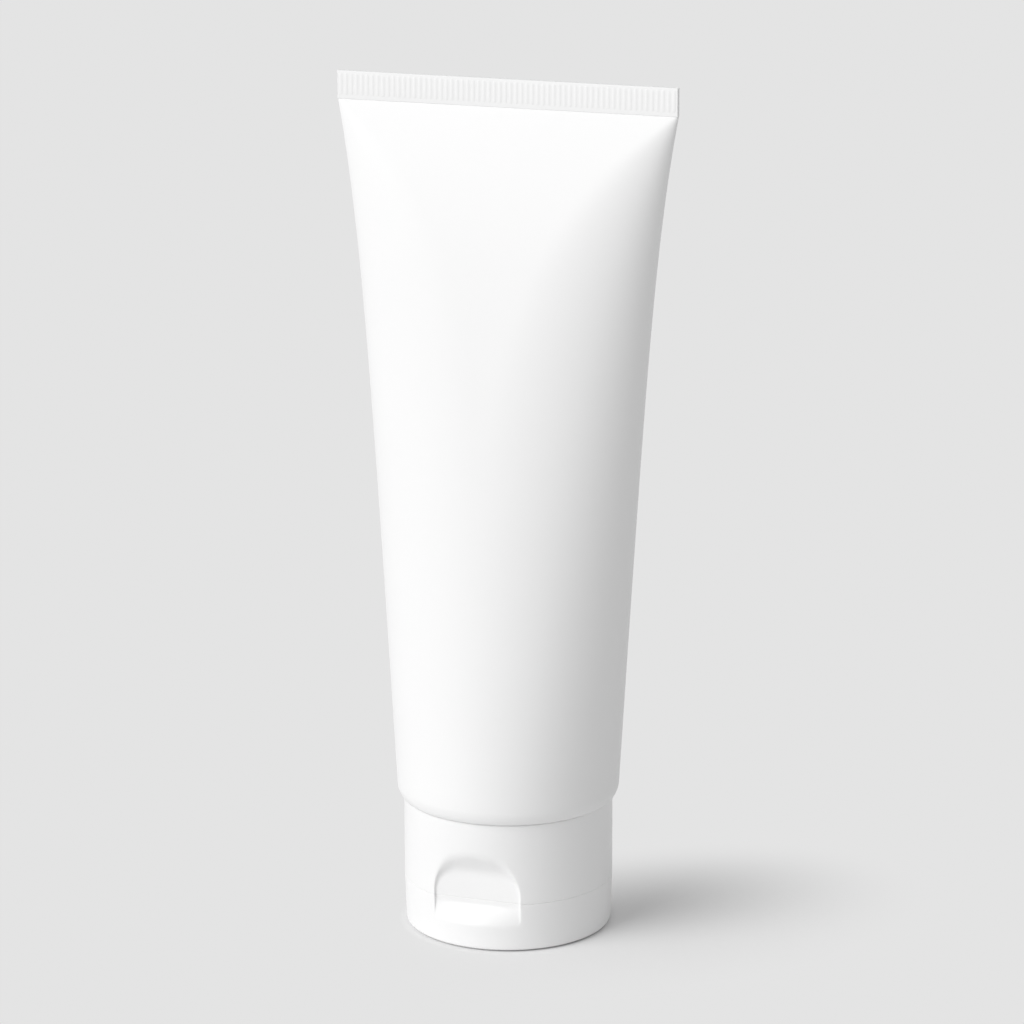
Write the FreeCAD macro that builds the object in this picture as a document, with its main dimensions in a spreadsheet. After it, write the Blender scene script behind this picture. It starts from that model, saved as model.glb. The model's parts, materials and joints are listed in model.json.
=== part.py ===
import FreeCAD, Part
import math
import os
import Sketcher

# A squeeze tube that stands on its flip-top cap: a plastic sleeve crimped flat at the top and
# welded to a shoulder and neck, a snap-on cap base, a lid on a film hinge, and the filling.
# Millimetres. The origin is the centre of the lid's flat face, on the surface it stands on.
# +Z is up towards the crimp, the crimp runs along X, the thumb notch faces -Y, the hinge +Y.

SIZES = {
    # sleeve
    "tube_dia": (40.4, "outer diameter of the sleeve at its round end"),
    "sleeve_wall": (0.5, "thickness of the sleeve"),
    "sleeve_length": (130.8, "from the sleeve's round end to the top of the crimp"),
    "crimp_height": (5.1, "height of the flat welded strip"),
    "end_round": (2.4, "height over which the round end curves in"),
    "end_inset": (0.8, "how far the round end curves in"),
    # shoulder and neck
    "weld_gap": (0.03, "between the shoulder's rim and the sleeve"),
    "rim_wall": (1.2, "thickness of the shoulder's rim"),
    "shoulder_wall": (1.3, "thickness of the shoulder's cone"),
    "shoulder_drop": (2.6, "height of the shoulder's cone"),
    "neck_dia": (18.4, "outer diameter of the neck"),
    "neck_wall": (1.6, "thickness of the neck"),
    "neck_seat": (0.2, "between the neck's end and the deck"),
    "bead_rise": (0.6, "how far the snap bead stands out of the neck"),
    "bead_length": (1.6, "height of the snap bead"),
    "bead_start": (3.2, "from the neck's end to the snap bead"),
    # cap as a whole
    "cap_inset": (1.2, "how much smaller the cap's radius is than the sleeve's"),
    "cap_wall": (1.3, "thickness of the cap's outer walls"),
    "joint_gap": (0.2, "between the cap's rim and the sleeve's end"),
    # cap base
    "base_height": (15.1, "from the seam to the rim beside the sleeve"),
    "deck_thick": (1.3, "thickness of the deck across the base"),
    "collar_rise": (1.2, "how far the collar stands into the lid"),
    "collar_wall": (1.1, "thickness of the collar"),
    "orifice_dia": (5.0, "bore of the nozzle"),
    "nozzle_wall": (1.6, "thickness of the nozzle"),
    "nozzle_rise": (2.0, "how far the nozzle stands into the lid"),
    "skirt_fit": (0.15, "between the inner skirt and the neck"),
    "skirt_wall": (1.5, "thickness of the inner skirt"),
    "skirt_height": (7.5, "from the deck to the end of the inner skirt"),
    "seal_fit": (0.1, "between the seal ring and the neck's bore"),
    "seal_wall": (0.9, "thickness of the seal ring"),
    "seal_height": (4.0, "from the deck to the end of the seal ring"),
    # lid
    "lid_height": (9.1, "from the surface it stands on to the seam"),
    "lid_draft": (0.45, "how much the lid's radius shrinks towards its face"),
    "lid_edge": (0.7, "radius of the lid's outer edge"),
    "foot_rise": (0.3, "height of the low foot that the lid stands on"),
    "foot_inset": (1.7, "from the lid's wall in to its foot"),
    "lid_face": (1.3, "thickness of the lid's face"),
    "lid_fit": (0.25, "between the lid's wall and the collar"),
    "plug_fit": (0.12, "between the plug and the nozzle's bore"),
    "plug_depth": (1.3, "how far the plug goes into the nozzle"),
    "plug_wall": (0.8, "thickness of the hollow plug"),
    "plug_lead": (0.3, "chamfer at the plug's end"),
    # thumb notch, shared by the base and the lid
    "notch_width": (17.3, "width of the notch across the cap's front"),
    "notch_depth": (2.3, "from the cap's front to the notch's floor"),
    "notch_wall": (1.3, "thickness behind the notch's floor"),
    "notch_top": (8.9, "from the seam to the notch's top edge"),
    "notch_flat": (5.3, "from the seam to the end of the notch's flat floor"),
    "notch_corner": (4.6, "radius of the notch's top corners"),
    "notch_draft": (0.6, "how much each side leans in"),
    "ledge_drop": (4.2, "from the seam down to the ledge's outer edge"),
    "ledge_start": (1.0, "from the seam down to where the ledge begins"),
    # film hinge
    "hinge_width": (12.0, "width of the film and of the lugs that carry it"),
    "lug_face": (0.9, "height of each lug's flat back"),
    "lug_slope": (2.4, "height over which each lug slopes back to the wall"),
    "hinge_film": (0.35, "thickness of each half of the film"),
    "hinge_reach": (0.12, "from the cap's back to the fold line"),
    # filling
    "fill_gap": (0.1, "between the filling and the walls around it"),
}

# Places that follow from the sizes.
PLACES = {
    "tube_radius": "sizes.tube_dia / 2",
    "end_arc": "(sizes.end_round ^ 2 + sizes.end_inset ^ 2) / (2 * sizes.end_inset)",
    "cap_radius": "tube_radius - sizes.cap_inset",
    "seam": "sizes.lid_height",
    "cap_top": "seam + sizes.base_height",
    "sleeve_end": "cap_top + sizes.joint_gap",
    "round_end": "sleeve_end + sizes.end_round",
    "crimp_low": "sleeve_end + sizes.sleeve_length - sizes.crimp_height",
    "deck_high": "seam + sizes.deck_thick",
    "neck_low": "deck_high + sizes.neck_seat",
    "neck_radius": "sizes.neck_dia / 2",
    "neck_bore": "neck_radius - sizes.neck_wall",
    "neck_root": "sleeve_end - sizes.shoulder_drop",
    "bead_low": "neck_low + sizes.bead_start",
    "bead_high": "bead_low + sizes.bead_length",
    "bead_radius": "neck_radius + sizes.bead_rise",
    "rim_arc": "end_arc - sizes.sleeve_wall - sizes.weld_gap",
    "rim_radius": "tube_radius - sizes.sleeve_wall - sizes.weld_gap",
    "rim_foot": "tube_radius - end_arc + sqrt(rim_arc ^ 2 - sizes.end_round ^ 2)",
    "skirt_bore": "neck_radius + sizes.skirt_fit",
    "groove_radius": "bead_radius + sizes.skirt_fit",
    "skirt_radius": "skirt_bore + sizes.skirt_wall",
    "skirt_high": "deck_high + sizes.skirt_height",
    "seal_radius": "neck_bore - sizes.seal_fit",
    "seal_high": "deck_high + sizes.seal_height",
    "orifice": "sizes.orifice_dia / 2",
    "nozzle_low": "seam - sizes.nozzle_rise",
    "nozzle_radius": "orifice + sizes.nozzle_wall",
    "wall_inside": "cap_radius - sizes.cap_wall",
    "collar_radius": "wall_inside - sizes.lid_fit",
    "collar_low": "seam - sizes.collar_rise",
    "face_radius": "cap_radius - sizes.lid_draft",
    "face_inside": "face_radius - sizes.cap_wall",
    "wall_lean": "atan(sizes.lid_draft / seam)",
    "foot_radius": "face_radius - sizes.foot_inset",
    "edge_radius": "face_radius + sizes.foot_rise * tan(wall_lean)",
    "edge_run": "sizes.lid_edge * tan((90 deg - wall_lean) / 2)",
    "plug_radius": "orifice - sizes.plug_fit",
    "plug_high": "nozzle_low + sizes.plug_depth",
    "notch_half": "sizes.notch_width / 2",
    "notch_floor": "cap_radius - sizes.notch_depth",
    "notch_back": "notch_floor - sizes.notch_wall",
    "ramp_run": "sizes.notch_top - sizes.notch_flat",
    "ledge_run": "sizes.ledge_drop - sizes.ledge_start",
    "hinge_line": "cap_radius + sizes.hinge_reach",
}

# The rule of the sleeve's form, as shares of its length above the round end.
STEADY_SPREAD = 0.77  # share of the full flattening that grows steadily with height
LATE_SPREAD = 0.225  # share of it that comes close to the crimp
LATE_POWER = 6
FLAT_POWER = 5  # how late the flat middle of each side grows
# A quarter of an ellipse's outline is close to (reach^p + depth^p)^(1/p) of its half axes.
OUTLINE_POWER = math.log(2) / math.log(math.pi / 2)
CURL_LEVELS = [0, 0.35, 0.7]  # where the curved end's outlines lie, as shares of its height
LEVELS = [0, 0.07, 0.17, 0.29, 0.41, 0.53, 0.65, 0.75, 0.84, 0.91, 0.96, 0.985, 1]
SEAL_SHARE = 0.985  # where the inner walls meet
FILL_SHARE = 0.96  # where the filling ends
SECTION_POINTS = 48
FULL = 360
CLEAR = 6.0  # how far a trimming cut reaches past what it trims
OVERCUT = 0.5  # how far a cut starts outside the face it goes into
START = 1  # how a sketch's constraints name the ends of an edge
END = 2
SKETCH_ORIGIN = (-1, 1)

doc = FreeCAD.newDocument("squeeze_tube")


def make_sheets():
    """The driving sizes as plain numbers, and the places worked out from them."""
    sizes = doc.addObject("Spreadsheet::Sheet", "sizes")
    for row, (alias, (value, note)) in enumerate(SIZES.items(), start=1):
        sizes.set(f"A{row}", note)
        sizes.set(f"B{row}", str(value))
        sizes.setAlias(f"B{row}", alias)
    doc.recompute()
    places = doc.addObject("Spreadsheet::Sheet", "places")
    for row, (alias, formula) in enumerate(PLACES.items(), start=1):
        places.set(f"A{row}", f"={formula}")
        places.setAlias(f"A{row}", alias)
    doc.recompute()
    return sizes, places


sizes, places = make_sheets()


def value(expression):
    """What an expression on the two sheets comes to."""
    return float(sizes.evalExpression(expression))


def size(alias):
    return float(sizes.get(alias))


def place(alias):
    return float(places.get(alias))


# ---------------------------------------------------------------- sketches and features


def new_body(label):
    body = doc.addObject("PartDesign::Body", label)
    body.Label = label
    return body


def new_sketch(body, name, role, offset=None):
    """A sketch on one of the body's origin planes, moved along its normal by an expression."""
    plane = [f for f in body.Origin.OriginFeatures if f.Role == role][0]
    sketch = body.newObject("Sketcher::SketchObject", name)
    sketch.AttachmentSupport = [(plane, "")]
    sketch.MapMode = "FlatFace"
    if offset:
        sketch.setExpression("AttachmentOffset.Base.z", offset)
    return sketch


def draw(sketch, corners):
    """A closed outline through corners. A corner is (x, y), or (x, y, radius) where the edge
    that leaves it is an arc, which turns left as the outline goes round anticlockwise."""
    points = [FreeCAD.Vector(value(c[0]), value(c[1]), 0) for c in corners]
    count = len(corners)
    for i, corner in enumerate(corners):
        start = points[i]
        end = points[(i + 1) % count]
        if len(corner) == 2:
            sketch.addGeometry(Part.LineSegment(start, end), False)
            continue
        chord = end - start
        radius = value(corner[2])
        side = FreeCAD.Vector(chord.y, -chord.x, 0).normalize()
        bulge = radius - math.sqrt(radius**2 - (chord.Length / 2) ** 2)
        sketch.addGeometry(Part.Arc(start, (start + end) / 2 + side * bulge, end), False)
    for i in range(count):
        joined = Sketcher.Constraint("Coincident", i, END, (i + 1) % count, START)
        sketch.addConstraint(joined)
    for i, corner in enumerate(corners):
        across = Sketcher.Constraint("DistanceX", *SKETCH_ORIGIN, i, START, points[i].x)
        up = Sketcher.Constraint("DistanceY", *SKETCH_ORIGIN, i, START, points[i].y)
        constraints = [across, up]
        if len(corner) > 2:
            constraints.append(Sketcher.Constraint("Radius", i, value(corner[2])))
        for constraint, expression in zip(constraints, corner):
            index = sketch.addConstraint(constraint)
            sketch.setExpression(f"Constraints[{index}]", expression)
    return sketch


def turned(body, kind, name, sketch):
    """A Revolution or a Groove of a sketch round the body's Z axis."""
    axis = [f for f in body.Origin.OriginFeatures if f.Role == "Z_Axis"][0]
    feature = body.newObject(f"PartDesign::{kind}", name)
    feature.Profile = sketch
    feature.ReferenceAxis = (axis, [""])
    feature.Angle = FULL
    doc.recompute()
    return feature


def prism(body, kind, name, sketch, length, midplane=False, reverse=False):
    """A Pad or a Pocket of a sketch."""
    feature = body.newObject(f"PartDesign::{kind}", name)
    feature.Profile = sketch
    feature.setExpression("Length", length)
    feature.SideType = "Symmetric" if midplane else "One side"
    feature.Reversed = reverse
    doc.recompute()
    return feature


def scooped(body, name, outer, inner):
    """A cut that leans from a wide outline at the front to a smaller one at the floor."""
    feature = body.newObject("PartDesign::SubtractiveLoft", name)
    feature.Profile = outer
    feature.Sections = [inner]
    feature.Ruled = True
    doc.recompute()
    return feature


def rectangle(left, low, right, high):
    return [(left, low), (right, low), (right, high), (left, high)]


# ---------------------------------------------------------------- sleeve and filling


def middle_section(share):
    """Half width, half of the flat middle and half depth of the sleeve's mid-wall, share of the
    way up. The outline keeps its length all the way, because the sleeve is bent, not stretched."""
    radius = (size("tube_dia") - size("sleeve_wall")) / 2
    widening = STEADY_SPREAD * share + LATE_SPREAD * share**LATE_POWER
    half_width = radius * (1 + (math.pi / 2 - 1) * widening)
    half_flat = half_width * share**FLAT_POWER
    reach = half_width - half_flat
    quarter = math.pi / 2 * radius - half_flat
    depth = (quarter**OUTLINE_POWER - reach**OUTLINE_POWER) ** (1 / OUTLINE_POWER)
    return half_width, half_flat, depth


def curl(height):
    """How far the sleeve's end has curved in, at a height above its edge."""
    below = max(size("end_round") - height, 0)
    return place("end_arc") - math.sqrt(place("end_arc") ** 2 - below**2)


def section_wire(height, grow):
    """The sleeve's outline at a height above its edge, grown or shrunk from its mid-wall."""
    rise = place("crimp_low") - place("round_end")
    share = max(height - size("end_round"), 0) / rise
    half_width, half_flat, depth = middle_section(share)
    grow = grow - curl(height)
    points = []
    for i in range(SECTION_POINTS):
        turn = 2 * math.pi * (i + 0.5) / SECTION_POINTS
        x = (half_width - half_flat + grow) * math.cos(turn)
        x += math.copysign(half_flat, math.cos(turn))
        y = (depth + grow) * math.sin(turn)
        points.append(FreeCAD.Vector(x, y, place("sleeve_end") + height))
    curve = Part.BSplineCurve()
    curve.interpolate(Points=points, PeriodicFlag=True)
    return Part.Wire([curve.toShape()])


def sleeve_form(grow, heights):
    """A solid of the sleeve's form through its outlines at some heights."""
    return Part.makeLoft([section_wire(height, grow) for height in heights], True, False)


def heights_to(last_share):
    """Heights above the round end at which the sleeve's outline is drawn."""
    rise = place("crimp_low") - place("round_end")
    return [size("end_round") + level * last_share * rise for level in LEVELS]


def make_sleeve():
    """Thin-walled sleeve with its crimped strip."""
    wall = size("sleeve_wall")
    curled = [size("end_round") * share for share in CURL_LEVELS]
    outside = sleeve_form(wall / 2, curled + heights_to(1))
    inside = sleeve_form(-wall / 2, curled + heights_to(SEAL_SHARE))
    half_width, _, _ = middle_section(1)
    half_width += wall / 2
    strip = Part.makeBox(2 * half_width, 2 * wall, size("crimp_height"))
    strip.translate(FreeCAD.Vector(-half_width, -wall, place("crimp_low")))
    feature = doc.addObject("Part::Feature", "sleeve")
    feature.Label = "sleeve"
    feature.Shape = outside.cut(inside).fuse(strip)
    return feature


def make_fill():
    """The filling: the sleeve's inside, and the shoulder's and the neck's."""
    gap = size("fill_gap")
    bottom = size("end_round") + gap
    heights = [bottom] + heights_to(FILL_SHARE)[1:]
    upper = sleeve_form(-size("sleeve_wall") / 2 - gap, heights)
    top = place("round_end") + gap
    seal_bore = place("seal_radius") - size("seal_wall")
    cone_foot = place("neck_root") + size("shoulder_wall")
    cone_top = place("sleeve_end") + size("shoulder_wall")
    corners = [
        (0, place("deck_high") + gap),
        (seal_bore - gap, place("deck_high") + gap),
        (seal_bore - gap, place("seal_high") + gap),
        (place("neck_bore") - gap, place("seal_high") + gap),
        (place("neck_bore") - gap, cone_foot + gap),
        (place("rim_foot") - size("rim_wall") - gap, cone_top + gap),
        (place("rim_radius") - size("rim_wall") - gap, top),
        (0, top),
    ]
    points = [FreeCAD.Vector(radius, 0, height) for radius, height in corners]
    face = Part.Face(Part.makePolygon(points + points[:1]))
    lower = face.revolve(FreeCAD.Vector(0, 0, 0), FreeCAD.Vector(0, 0, 1), FULL)
    feature = doc.addObject("Part::Feature", "scrub_fill")
    feature.Label = "scrub_fill"
    feature.Shape = upper.fuse(lower)
    return feature


# ---------------------------------------------------------------- shoulder


def make_shoulder():
    """Cone and neck, turned in one piece, with a rim welded inside the sleeve's end."""
    body = new_body("shoulder")
    sketch = new_sketch(body, "shoulder_section", "XZ_Plane")
    rim_bore = "places.rim_foot - sizes.rim_wall"
    inner_root = "places.neck_root + sizes.shoulder_wall"
    inner_rise = "places.sleeve_end + sizes.shoulder_wall"
    draw(
        sketch,
        [
            ("places.neck_bore", "places.neck_low"),
            ("places.neck_radius", "places.neck_low"),
            ("places.neck_radius", "places.bead_low"),
            ("places.bead_radius", "places.bead_low + sizes.bead_rise"),
            ("places.bead_radius", "places.bead_high - sizes.bead_rise / 2"),
            ("places.neck_radius", "places.bead_high"),
            ("places.neck_radius", "places.neck_root"),
            (rim_bore, "places.sleeve_end"),
            ("places.rim_foot", "places.sleeve_end", "places.rim_arc"),
            ("places.rim_radius", "places.round_end"),
            ("places.rim_radius - sizes.rim_wall", "places.round_end"),
            (rim_bore, inner_rise),
            ("places.neck_bore", inner_root),
        ],
    )
    turned(body, "Revolution", "shoulder_turned", sketch)
    return body


# ---------------------------------------------------------------- cap base


def notch_outline(spread):
    """Corners of the notch's arch above the seam, at a share of the way from its floor (0) to the
    cap's front (1)."""
    half = f"places.notch_half - sizes.notch_draft * (1 - {spread})"
    high = f"places.seam + sizes.notch_flat + places.ramp_run * {spread}"
    low = f"places.seam - {OVERCUT}"
    shoulder = f"{high} - sizes.notch_corner"
    inner = f"{half} - sizes.notch_corner"
    return [
        (f"-({half})", low),
        (half, low),
        (half, shoulder, "sizes.notch_corner"),
        (inner, high),
        (f"-({inner})", high, "sizes.notch_corner"),
        (f"-({half})", shoulder),
    ]


def back_up(body, near, far):
    """The wall behind the notch. It leaves its back at the height near, and the cap's outer wall
    at the height far."""
    sketch = new_sketch(body, "notch_backing_section", "YZ_Plane")
    back = "-places.notch_back"
    wall = "-places.wall_inside"
    draw(sketch, [(back, "places.seam"), (back, near), (wall, far), (wall, "places.seam")])
    width = "2 * (places.notch_half + sizes.notch_wall)"
    prism(body, "Pad", "notch_backing", sketch, width, midplane=True)


def make_cap_base():
    """Outer wall, deck with its nozzle and collar, and the skirt that snaps over the neck."""
    body = new_body("cap_base")
    section = new_sketch(body, "base_section", "XZ_Plane")
    seal_bore = "places.seal_radius - sizes.seal_wall"
    groove_low = "places.bead_low - sizes.skirt_fit"
    groove_high = "places.bead_high + sizes.skirt_fit"
    draw(
        section,
        [
            ("places.cap_radius", "places.seam"),
            ("places.cap_radius", "places.cap_top"),
            ("places.wall_inside", "places.cap_top"),
            ("places.wall_inside", "places.deck_high"),
            ("places.skirt_radius", "places.deck_high"),
            ("places.skirt_radius", "places.skirt_high"),
            ("places.skirt_bore", "places.skirt_high"),
            ("places.skirt_bore", groove_high),
            ("places.groove_radius", groove_high),
            ("places.groove_radius", groove_low),
            ("places.skirt_bore", groove_low),
            ("places.skirt_bore", "places.deck_high"),
            ("places.seal_radius", "places.deck_high"),
            ("places.seal_radius", "places.seal_high"),
            (seal_bore, "places.seal_high"),
            (seal_bore, "places.deck_high"),
            ("places.orifice", "places.deck_high"),
            ("places.orifice", "places.nozzle_low"),
            ("places.nozzle_radius", "places.nozzle_low"),
            ("places.nozzle_radius", "places.seam"),
            ("places.collar_radius - sizes.collar_wall", "places.seam"),
            ("places.collar_radius - sizes.collar_wall", "places.collar_low"),
            ("places.collar_radius", "places.collar_low"),
            ("places.collar_radius", "places.seam"),
        ],
    )
    turned(body, "Revolution", "base_turned", section)

    back_up(
        body,
        "places.seam + sizes.notch_flat + sizes.notch_wall / 2",
        "places.seam + sizes.notch_top + sizes.notch_wall",
    )
    trim = new_sketch(body, "base_trim_section", "XZ_Plane")
    outside = f"places.cap_radius + {CLEAR}"
    draw(trim, rectangle("places.cap_radius", "places.seam", outside, "places.cap_top"))
    turned(body, "Groove", "base_trim", trim)

    front = new_sketch(body, "notch_front", "XZ_Plane", f"places.cap_radius + {OVERCUT}")
    draw(front, notch_outline(f"(1 + {OVERCUT} / sizes.notch_depth)"))
    floor = new_sketch(body, "notch_floor_outline", "XZ_Plane", "places.notch_floor")
    draw(floor, notch_outline("0"))
    scooped(body, "thumb_notch", front, floor)

    opening = new_sketch(body, "collar_opening_outline", "XY_Plane", "places.collar_low")
    clear_half = "places.notch_half + sizes.notch_wall + sizes.lid_fit"
    step = "places.notch_back - sizes.lid_fit"
    draw(opening, rectangle(f"-({clear_half})", "-places.cap_radius", clear_half, f"-({step})"))
    prism(body, "Pocket", "collar_opening", opening, "sizes.collar_rise", reverse=True)
    bridge = new_sketch(body, "collar_bridge_outline", "XY_Plane", "places.collar_low")
    bridge_half = f"sqrt(places.collar_radius ^ 2 - ({step}) ^ 2)"
    inner_step = f"{step} - sizes.collar_wall"
    draw(bridge, rectangle(f"-({bridge_half})", f"-({step})", bridge_half, f"-({inner_step})"))
    prism(body, "Pad", "collar_bridge", bridge, "sizes.collar_rise")

    add_lug(body, "base_lug", "+")
    film = new_sketch(body, "base_film_outline", "XY_Plane", "places.seam")
    draw(film, film_outline())
    prism(body, "Pad", "base_film", film, "sizes.hinge_film")
    return body


def add_lug(body, name, way):
    """A lug on the round back wall, above the seam or, with way "-", below it. It gives the film
    a straight edge to start from."""
    sketch = new_sketch(body, f"{name}_section", "YZ_Plane")
    flat = f"places.seam {way} sizes.lug_face"
    slope = f"{flat} {way} sizes.lug_slope"
    wall, back = "places.wall_inside", "places.cap_radius"
    draw(sketch, [(wall, "places.seam"), (back, "places.seam"), (back, flat), (wall, slope)])
    prism(body, "Pad", name, sketch, "sizes.hinge_width", midplane=True)


def film_outline():
    """The film hinge seen from above: from inside the back wall to the fold line."""
    half = "sizes.hinge_width / 2"
    return rectangle(f"-({half})", "places.wall_inside", half, "places.hinge_line")


# ---------------------------------------------------------------- lid


def make_lid():
    """Flat-faced lid with a hollow plug that closes the nozzle."""
    body = new_body("lid")
    section = new_sketch(body, "lid_section", "XZ_Plane")
    plug_bore = "places.plug_radius - sizes.plug_wall"
    draw(
        section,
        [
            ("0", "0"),
            ("places.foot_radius", "0"),
            ("places.foot_radius", "sizes.foot_rise"),
            ("places.edge_radius - places.edge_run", "sizes.foot_rise", "sizes.lid_edge"),
            (
                "places.edge_radius + places.edge_run * sin(places.wall_lean)",
                "sizes.foot_rise + places.edge_run * cos(places.wall_lean)",
            ),
            ("places.cap_radius", "places.seam"),
            ("places.wall_inside", "places.seam"),
            ("places.face_inside", "sizes.lid_face"),
            ("places.plug_radius", "sizes.lid_face"),
            ("places.plug_radius", "places.plug_high - sizes.plug_lead"),
            ("places.plug_radius - sizes.plug_lead", "places.plug_high"),
            (plug_bore, "places.plug_high"),
            (plug_bore, "sizes.lid_face"),
            ("0", "sizes.lid_face"),
        ],
    )
    turned(body, "Revolution", "lid_turned", section)

    back_up(
        body,
        "places.seam - sizes.ledge_start - sizes.notch_wall / 2",
        "places.seam - sizes.ledge_drop - sizes.notch_wall",
    )
    trim = new_sketch(body, "lid_trim_section", "XZ_Plane")
    outside = f"places.cap_radius + {CLEAR}"
    draw(
        trim,
        [
            ("places.face_radius", "0"),
            (outside, "0"),
            (outside, "places.seam"),
            ("places.cap_radius", "places.seam"),
        ],
    )
    turned(body, "Groove", "lid_trim", trim)

    front = new_sketch(body, "ledge_front", "XZ_Plane", f"places.cap_radius + {OVERCUT}")
    reach = f"(1 + {OVERCUT} / sizes.notch_depth)"
    half = f"places.notch_half - sizes.notch_draft * (1 - {reach})"
    low = f"places.seam - sizes.ledge_start - places.ledge_run * {reach}"
    high = f"places.seam + {OVERCUT}"
    draw(front, rectangle(f"-({half})", low, half, high))
    floor = new_sketch(body, "ledge_floor", "XZ_Plane", "places.notch_floor")
    half = "places.notch_half - sizes.notch_draft"
    draw(floor, rectangle(f"-({half})", "places.seam - sizes.ledge_start", half, high))
    scooped(body, "thumb_ledge", front, floor)

    add_lug(body, "lid_lug", "-")
    film = new_sketch(body, "lid_film_outline", "XY_Plane", "places.seam - sizes.hinge_film")
    draw(film, film_outline())
    prism(body, "Pad", "lid_film", film, "sizes.hinge_film")
    return body


shoulder = make_shoulder()
cap_base = make_cap_base()
lid = make_lid()
sleeve = make_sleeve()
scrub_fill = make_fill()
nodes = [sleeve, shoulder, cap_base, lid, scrub_fill]

doc.recompute()
for item in doc.Objects:
    for fault in ("Invalid", "Error"):
        if fault in item.State:
            raise RuntimeError(f"{item.Label} is {item.State}")
for node in nodes:
    if node.Shape.isNull() or not node.Shape.isValid():
        raise RuntimeError(f"{node.Label} has no sound shape")

os.makedirs("parts", exist_ok=True)
for node in nodes:
    node.Shape.exportStep(f"parts/{node.Label}.step")
    box = node.Shape.BoundBox
    print(node.Label, len(node.Shape.Solids), round(node.Shape.Volume, 2), box)
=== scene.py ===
import json
import math

import bmesh
import bpy
from bpy.props import FloatProperty, FloatVectorProperty, IntProperty, PointerProperty
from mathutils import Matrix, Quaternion, Vector

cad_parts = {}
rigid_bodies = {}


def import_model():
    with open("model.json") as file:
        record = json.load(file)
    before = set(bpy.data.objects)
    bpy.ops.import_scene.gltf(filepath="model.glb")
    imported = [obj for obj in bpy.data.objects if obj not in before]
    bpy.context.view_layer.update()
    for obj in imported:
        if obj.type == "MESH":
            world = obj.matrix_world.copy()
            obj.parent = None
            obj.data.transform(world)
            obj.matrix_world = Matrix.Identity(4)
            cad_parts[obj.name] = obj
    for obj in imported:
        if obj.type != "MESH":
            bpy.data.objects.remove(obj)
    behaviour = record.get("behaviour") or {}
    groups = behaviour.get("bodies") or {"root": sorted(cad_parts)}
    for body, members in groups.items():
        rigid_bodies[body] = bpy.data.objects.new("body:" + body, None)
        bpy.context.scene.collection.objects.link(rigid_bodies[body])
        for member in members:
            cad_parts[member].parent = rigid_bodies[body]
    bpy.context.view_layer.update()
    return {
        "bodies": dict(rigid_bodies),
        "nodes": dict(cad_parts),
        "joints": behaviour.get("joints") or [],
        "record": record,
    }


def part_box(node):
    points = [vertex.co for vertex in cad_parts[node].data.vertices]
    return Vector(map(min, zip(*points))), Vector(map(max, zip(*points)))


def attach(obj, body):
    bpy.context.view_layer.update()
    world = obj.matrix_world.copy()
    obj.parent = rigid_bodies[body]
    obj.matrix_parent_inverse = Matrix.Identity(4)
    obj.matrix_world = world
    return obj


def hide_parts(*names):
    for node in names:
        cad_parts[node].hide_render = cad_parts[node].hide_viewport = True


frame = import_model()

bl_info = {
    "name": "Face scrub tube",
    "version": (1, 0, 0),
    "blender": (4, 5, 0),
    "location": "3D View > Sidebar > Scrub tube",
    "description": "Builds a squeeze tube that stands on its flip-top cap",
    "category": "Object",
}

MM = 0.001
SLEEVE_LOW, SLEEVE_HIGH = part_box("sleeve")
BASE_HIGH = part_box("cap_base")[1]
LID_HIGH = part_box("lid")[1]
HINGE = [joint for joint in frame["joints"] if joint["name"] == "lid_flip"][0]["pos_m"]


def length(label, about, default):
    """A size that the user can change, in metres."""
    return FloatProperty(
        name=label, description=about, default=default, unit="LENGTH", precision=5
    )


def angle(label, about, degrees):
    """An angle that the user can change."""
    return FloatProperty(
        name=label, description=about, default=math.radians(degrees), subtype="ANGLE"
    )


def number(label, about, default):
    """A plain number that the user can change."""
    return FloatProperty(name=label, description=about, default=default)


def colour(label, about, default):
    """A colour that the user can change."""
    return FloatVectorProperty(
        name=label, description=about, default=default, subtype="COLOR", size=3, min=0, max=1
    )


# ---------------------------------------------------------------- what a user can change


class ScrubTubeSleeve(bpy.types.PropertyGroup):
    """Sizes of the plastic sleeve and its crimp."""

    end_radius: length("End radius", "Outer radius of the round end", 20.2 * MM)
    foot: length("Foot", "Height of the sleeve's round end", SLEEVE_LOW[2] - 0.1 * MM)
    top: length("Top", "Height of the crimp's top edge", SLEEVE_HIGH[2])
    wall: length("Wall", "Thickness of the sleeve", 0.5 * MM)
    end_round: length("End round", "Height over which the round end curves in", 2.4 * MM)
    end_inset: length("End inset", "How far the round end curves in", 0.8 * MM)
    crimp_height: length("Crimp height", "Height of the flat welded strip", 5.1 * MM)
    crimp_half: length("Crimp half depth", "Half the thickness of the strip", 0.42 * MM)
    crown: length("Crown", "Height over which the strip's top edge is rounded", 0.2 * MM)
    steady_spread: number(
        "Steady spread", "Share of the flattening that grows steadily with height", 0.77
    )
    late_spread: number(
        "Late spread", "Share of the flattening that comes close to the crimp", 0.225
    )
    late_power: number("Late power", "How late the late spread comes", 6)
    flat_power: number("Flat power", "How late the flat middle of each side grows", 5)
    ribs: IntProperty(name="Ribs", description="Ribs on each face of the crimp", default=63)
    rib_rise: length("Rib rise", "How far a rib stands out of the strip", 0.04 * MM)
    rib_width: length("Rib width", "Width of a rib", 0.68 * MM)
    rib_low: length("Rib foot", "From the strip's lower edge to the ribs", 0.75 * MM)
    rib_high: length("Rib head", "From the strip's top edge to the ribs", 0.45 * MM)
    columns: IntProperty(
        name="Columns", description="Mesh columns round the sleeve", default=288, min=32
    )


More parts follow.
